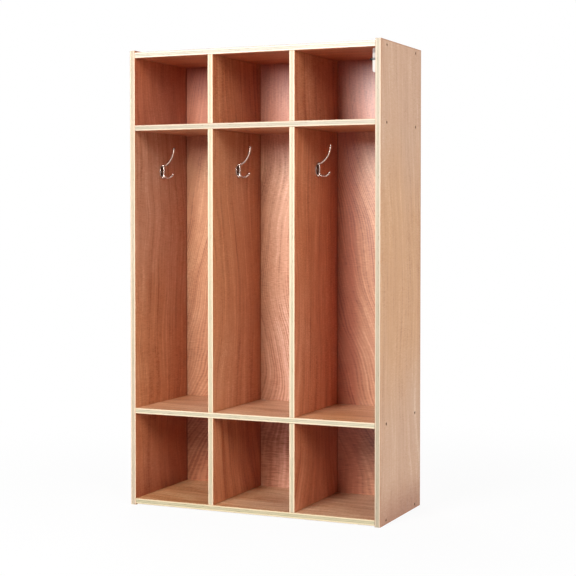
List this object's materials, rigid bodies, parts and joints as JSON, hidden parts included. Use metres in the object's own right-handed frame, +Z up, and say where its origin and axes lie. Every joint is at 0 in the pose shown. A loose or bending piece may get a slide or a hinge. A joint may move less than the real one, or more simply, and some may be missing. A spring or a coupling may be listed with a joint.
{
  "type": "mudroom locker unit",
  "caption": "Open-front plywood coat locker with bays side by side, each with a top cubby, a tall coat space with a double hook, and a shoe cubby.",
  "frame": {"origin": "middle of the unit's width and depth, at the floor under the two sides", "axes": "+X to the right across the bays, +Y to the back panel, so the open front faces -Y, and +Z up"},
  "size_m": [0.715, 0.308, 1.219],
  "materials": {
    "veneered_ply": "satin clear coat over reddish brown veneer, pale layered edges",
    "back_ply": "satin clear coat over reddish brown veneer",
    "beech_dowel": "bare",
    "bronzed_screw": "bronzed",
    "chrome_hook": "bright plated",
    "chrome_screw": "bright plated",
    "white_moulding": "smooth",
    "black_screw": "blackened"
  },
  "bodies": {
    "root": {"side_panel_left": "veneered_ply", "side_panel_right": "veneered_ply", "top_panel": "veneered_ply", "upper_shelf": "veneered_ply", "lower_shelf": "veneered_ply", "bottom_panel": "veneered_ply", "back_panel": "back_ply", "upper_divider_left": "veneered_ply", "upper_divider_right": "veneered_ply", "middle_divider_left": "veneered_ply", "middle_divider_right": "veneered_ply", "lower_divider_left": "veneered_ply", "lower_divider_right": "veneered_ply", "top_screw_left_front": "bronzed_screw", "top_screw_left_rear": "bronzed_screw", "top_screw_right_front": "bronzed_screw", "top_screw_right_rear": "bronzed_screw", "upper_shelf_screw_left_front": "bronzed_screw", "upper_shelf_screw_left_rear": "bronzed_screw", "upper_shelf_screw_right_front": "bronzed_screw", "upper_shelf_screw_right_rear": "bronzed_screw", "lower_shelf_screw_left_front": "bronzed_screw", "lower_shelf_screw_left_rear": "bronzed_screw", "lower_shelf_screw_right_front": "bronzed_screw", "lower_shelf_screw_right_rear": "bronzed_screw", "bottom_screw_left_front": "bronzed_screw", "bottom_screw_left_rear": "bronzed_screw", "bottom_screw_right_front": "bronzed_screw", "bottom_screw_right_rear": "bronzed_screw", "divider_top_screw_left_front": "bronzed_screw", "divider_top_screw_left_rear": "bronzed_screw", "divider_top_screw_right_front": "bronzed_screw", "divider_top_screw_right_rear": "bronzed_screw", "divider_bottom_screw_left_front": "bronzed_screw", "divider_bottom_screw_left_rear": "bronzed_screw", "divider_bottom_screw_right_front": "bronzed_screw", "divider_bottom_screw_right_rear": "bronzed_screw", "upper_dowel_left_front": "beech_dowel", "upper_dowel_left_rear": "beech_dowel", "upper_dowel_right_front": "beech_dowel", "upper_dowel_right_rear": "beech_dowel", "lower_dowel_left_front": "beech_dowel", "lower_dowel_left_rear": "beech_dowel", "lower_dowel_right_front": "beech_dowel", "lower_dowel_right_rear": "beech_dowel", "coat_hook_left": "chrome_hook", "coat_hook_middle": "chrome_hook", "coat_hook_right": "chrome_hook", "hook_screw_left_front": "chrome_screw", "hook_screw_left_rear": "chrome_screw", "hook_screw_middle_front": "chrome_screw", "hook_screw_middle_rear": "chrome_screw", "hook_screw_right_front": "chrome_screw", "hook_screw_right_rear": "chrome_screw", "corner_fitting": "white_moulding", "corner_fitting_screw": "black_screw"}
  },
  "joints": []
}
